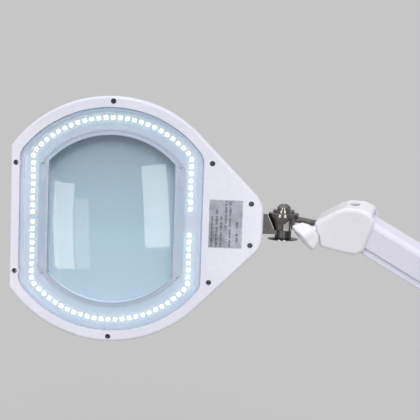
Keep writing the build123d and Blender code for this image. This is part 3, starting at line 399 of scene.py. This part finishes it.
# ---- light cover: a thin panel with a soft bead round its outer edge and a rolled window edge ----
def make_cover():
    bm = bmesh.new()
    low = PANEL_TOP - PANEL_THICKNESS
    outer_radius, outer_half, outer_corner = PANEL_OPENING
    hidden = cut_disc_points(*PANEL_OUTER, low)
    hidden_top = cut_disc_points(*PANEL_OUTER, PANEL_TOP)

    def ring(inset, z):
        return cut_disc_points(outer_radius - inset, outer_half - inset, max(outer_corner - inset, 3.0), z)

    bead_rings = [ring(inset, PANEL_TOP + rise) for inset, rise in PANEL_BEAD]
    edge_rings = [cut_disc_points(WINDOW[0] + grow, WINDOW[1] + grow, WINDOW[2] + grow, PANEL_TOP + rise)
                  for grow, rise in WINDOW_ROLL]
    under = cut_disc_points(*WINDOW, low)
    loft(bm, [hidden, hidden_top] + bead_rings + edge_rings + [under], closed=True)
    # faces on the window's rolled wall take the darker material, painted shade along the window's edge
    for face in bm.faces:
        centre = face.calc_center_median()
        beside = abs(centre.x) < WINDOW[1] + WINDOW_SHADE_WIDTH
        if beside and centre.xy.length < WINDOW[0] + WINDOW_SHADE_WIDTH:
            face.material_index = 1
    return add_piece("cover_panel", bm, [MATERIALS["clear_cover"], COVER_EDGE_PAINTED_SHADE], "head", HEAD)


cover = make_cover()
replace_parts(cover, "light_cover")


# ---- LEDs ----
def track_point(distance):
    """A point on the LED track and its heading, by the distance from the left end of the upper half."""
    corner = math.acos(TRACK_CUT / TRACK_RADIUS)
    rise = TRACK_RADIUS * math.sin(corner)
    arc = TRACK_RADIUS * (math.pi - 2 * corner)
    if distance < rise:
        return -TRACK_CUT, distance, 90.0
    if distance < rise + arc:
        angle = math.pi - corner - (distance - rise) / TRACK_RADIUS
        return TRACK_RADIUS * math.cos(angle), TRACK_RADIUS * math.sin(angle), math.degrees(angle) - 90
    return TRACK_CUT, rise - (distance - rise - arc), 90.0


def make_leds(name, side):
    bm = bmesh.new()
    top = BOARD_TOP + LED_HEIGHT
    for number in range(LED_COUNT):
        x, y, heading = track_point(LED_START + number * LED_PITCH)

        def ring(half, corner, z):
            return rounded_square(x, side * y, side * heading, half, corner, z)

        body = [ring(LED_HALF - 0.1, 0.4, BOARD_TOP), ring(LED_HALF, 0.5, BOARD_TOP + 0.2),
                ring(LED_HALF, 0.5, top - 0.2), ring(LED_HALF - 0.2, 0.5, top)]
        loft(bm, body, material=1)
        window = [ring(2.15, 0.9, top), ring(2.05, 0.9, top + 0.12), ring(1.5, 0.8, top + 0.26),
                  ring(0.7, 0.4, top + 0.32)]
        loft(bm, window, material=0)
    return add_piece(name, bm, [MATERIALS["led_chip"], LED_BODY], "head", HEAD)


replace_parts(make_leds("leds_upper", 1), "led_chips_upper")
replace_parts(make_leds("leds_lower", -1), "led_chips_lower")


# ---- small pieces on the panel ----
def dome_rings(x, y, z, radius, height):
    rings = []
    for angle in (0, 20, 40, 60, 78):
        reach = radius * math.cos(math.radians(angle))
        rise = height * math.sin(math.radians(angle))
        rings.append([Vector((x + reach * math.cos(2 * math.pi * i / 20),
                              y + reach * math.sin(2 * math.pi * i / 20), z + rise)) for i in range(20)])
    return rings


def make_pegs():
    """The four pegs that clip the cover down at the window's corners."""
    bm = bmesh.new()
    for x in (-PEG_SPOT[0], PEG_SPOT[0]):
        for y in (-PEG_SPOT[1], PEG_SPOT[1]):
            loft(bm, dome_rings(x, y, PANEL_TOP - 0.1, PEG_RADIUS, PEG_HEIGHT))
    return add_piece("cover_pegs", bm, [PEG], "head", HEAD)


make_pegs()


def make_lead_cover():
    """The plate over the leads, where the two LED boards end beside the neck."""
    bm = bmesh.new()
    low = BOARD_TOP - BOARD_THICKNESS
    rings = []
    for scale, z in ((1.0, low), (1.0, low + 2.2), (0.94, low + 2.8)):
        rings.append([Vector((LEAD_COVER_MIDDLE + (x - LEAD_COVER_MIDDLE) * scale, y * scale, z))
                      for x, y in LEAD_COVER_OUTLINE])
    loft(bm, rings)
    return add_piece("lead_cover", bm, [LEAD_COVER], "head", HEAD)


make_lead_cover()


# ---- label marks: rows of short strokes, with no lettering and no symbols ----
def add_block(bm, x, y, width, height, z, thick=0.06):
    corners = [(-1, -1), (1, -1), (1, 1), (-1, 1)]
    rings = []
    for level, shrink in ((z - 0.02, 1.0), (z + thick, 0.9)):
        rings.append([Vector((x + sx * width / 2 * shrink, y + sy * height / 2 * shrink, level))
                      for sx, sy in corners])
    loft(bm, rings)


def make_marks():
    bm = bmesh.new()
    stroke = 0
    for row_x, start, end in LABEL_ROWS:
        y = start
        while y < end:
            stroke += 1
            wide = STROKE_WIDTHS[stroke % len(STROKE_WIDTHS)]
            add_block(bm, LABEL_CENTRE + row_x, y, wide, STROKE_HEIGHT, LABEL_TOP)
            y += 2.9 if stroke % 7 == 0 else 1.5
    return add_piece("label_marks", bm, [INK], "head", HEAD)


make_marks()


# ---- clamping knob: a fluted grip turned on a lathe profile ----
def make_knob():
    bm = bmesh.new()
    rings = []
    for behind, radius, depth in KNOB_SECTION:
        ring = []
        for i in range(KNOB_POINTS):
            angle = 2 * math.pi * i / KNOB_POINTS
            reach = radius - depth * (0.5 - 0.5 * math.cos(KNOB_LOBES * angle))
            ring.append(Vector((reach * math.cos(angle), reach * math.sin(angle), -behind)))
        rings.append(ring)
    loft(bm, rings)
    return add_piece("knob_grip", bm, [MATERIALS["white_cover"]], "knob", KNOB)


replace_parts(make_knob(), "clamp_knob")

# ---- camera ----
CAMERA_PLACE = (0.00738, -1.15638, 0.96586)
CAMERA_TILT = 75
CAMERA_TURN = 15
CAMERA_LENS = 93.51
camera = bpy.data.objects.new("camera", bpy.data.cameras.new("camera"))
bpy.context.scene.collection.objects.link(camera)
camera.location = CAMERA_PLACE
camera.rotation_euler = (math.radians(CAMERA_TILT), 0, math.radians(CAMERA_TURN))
camera.data.sensor_width = 36
camera.data.lens = CAMERA_LENS
camera.data.clip_start = 0.05
camera.data.clip_end = 200
bpy.context.scene.camera = camera

# ---- floor, world and lights ----
FLOOR_HALF = 60.0
FLOOR_DROP = 0.02
FLOOR_GREY = (0.475, 0.475, 0.475, 1)
# the world's colour by the direction's height
SKY = [(0.0, (0.30, 0.30, 0.31)), (0.25, (0.45, 0.45, 0.46)), (0.8, (1.0, 1.0, 1.0))]
floor_height = cad_low.z - FLOOR_DROP
mesh = bpy.data.meshes.new("floor")
corners = [(-FLOOR_HALF, -FLOOR_HALF), (FLOOR_HALF, -FLOOR_HALF), (FLOOR_HALF, FLOOR_HALF),
           (-FLOOR_HALF, FLOOR_HALF)]
mesh.from_pydata([(x, y, floor_height) for x, y in corners], [], [(0, 1, 2, 3)])
floor = bpy.data.objects.new("floor", mesh)
bpy.context.scene.collection.objects.link(floor)
m, tree, shader = new_material("floor")
shader.inputs["Base Color"].default_value = FLOOR_GREY
shader.inputs["Roughness"].default_value = 0.95
shader.inputs["Specular IOR Level"].default_value = 0.0
mesh.materials.append(m)

world = bpy.data.worlds.new("world")
bpy.context.scene.world = world
world.use_nodes = True
tree = world.node_tree
background = tree.nodes["Background"]
direction = tree.nodes.new("ShaderNodeTexCoord").outputs["Generated"]
split = tree.nodes.new("ShaderNodeSeparateXYZ")
tree.links.new(direction, split.inputs["Vector"])
sky = ramp(tree, split.outputs["Z"], SKY)
tree.links.new(sky, background.inputs["Color"])
background.inputs["Strength"].default_value = 1.0


def area_light(name, location, target, size, power):
    data = bpy.data.lights.new(name, "AREA")
    data.shape = "RECTANGLE"
    data.size, data.size_y = size
    data.energy = power
    light = bpy.data.objects.new(name, data)
    bpy.context.scene.collection.objects.link(light)
    light.location = location
    light.rotation_euler = (Vector(target) - Vector(location)).to_track_quat("-Z", "Y").to_euler()
    return light


STRIP_RADIANCE = 5.2
# each: its place, width and height, and its share of that radiance; they only show as reflections
STRIPS = {
    "strip_left": ((-0.73, -1.55, 0.61), (0.28, 1.04), 1.0),
    "strip_left_side": ((-0.49, -1.55, 0.53), (0.17, 0.84), 0.4),
    "strip_right": ((0.27, -1.19, 0.83), (0.27, 0.9), 1.0),
}
SUN_ENERGY = 1.5
SUN_ANGLE = 34
SUN_FROM = (0.25, -0.62, 0.75)
for name, (place, size, level) in STRIPS.items():
    strip = area_light(name, place, head_origin, size, level * STRIP_RADIANCE * math.pi * size[0] * size[1])
    strip.visible_diffuse = False
sun = bpy.data.objects.new("sun", bpy.data.lights.new("sun", "SUN"))
bpy.context.scene.collection.objects.link(sun)
sun.visible_glossy = False
sun.data.energy = SUN_ENERGY
sun.data.angle = math.radians(SUN_ANGLE)
sun.rotation_euler = Vector(SUN_FROM).to_track_quat("Z", "Y").to_euler()
bpy.context.scene.view_settings.view_transform = "Standard"
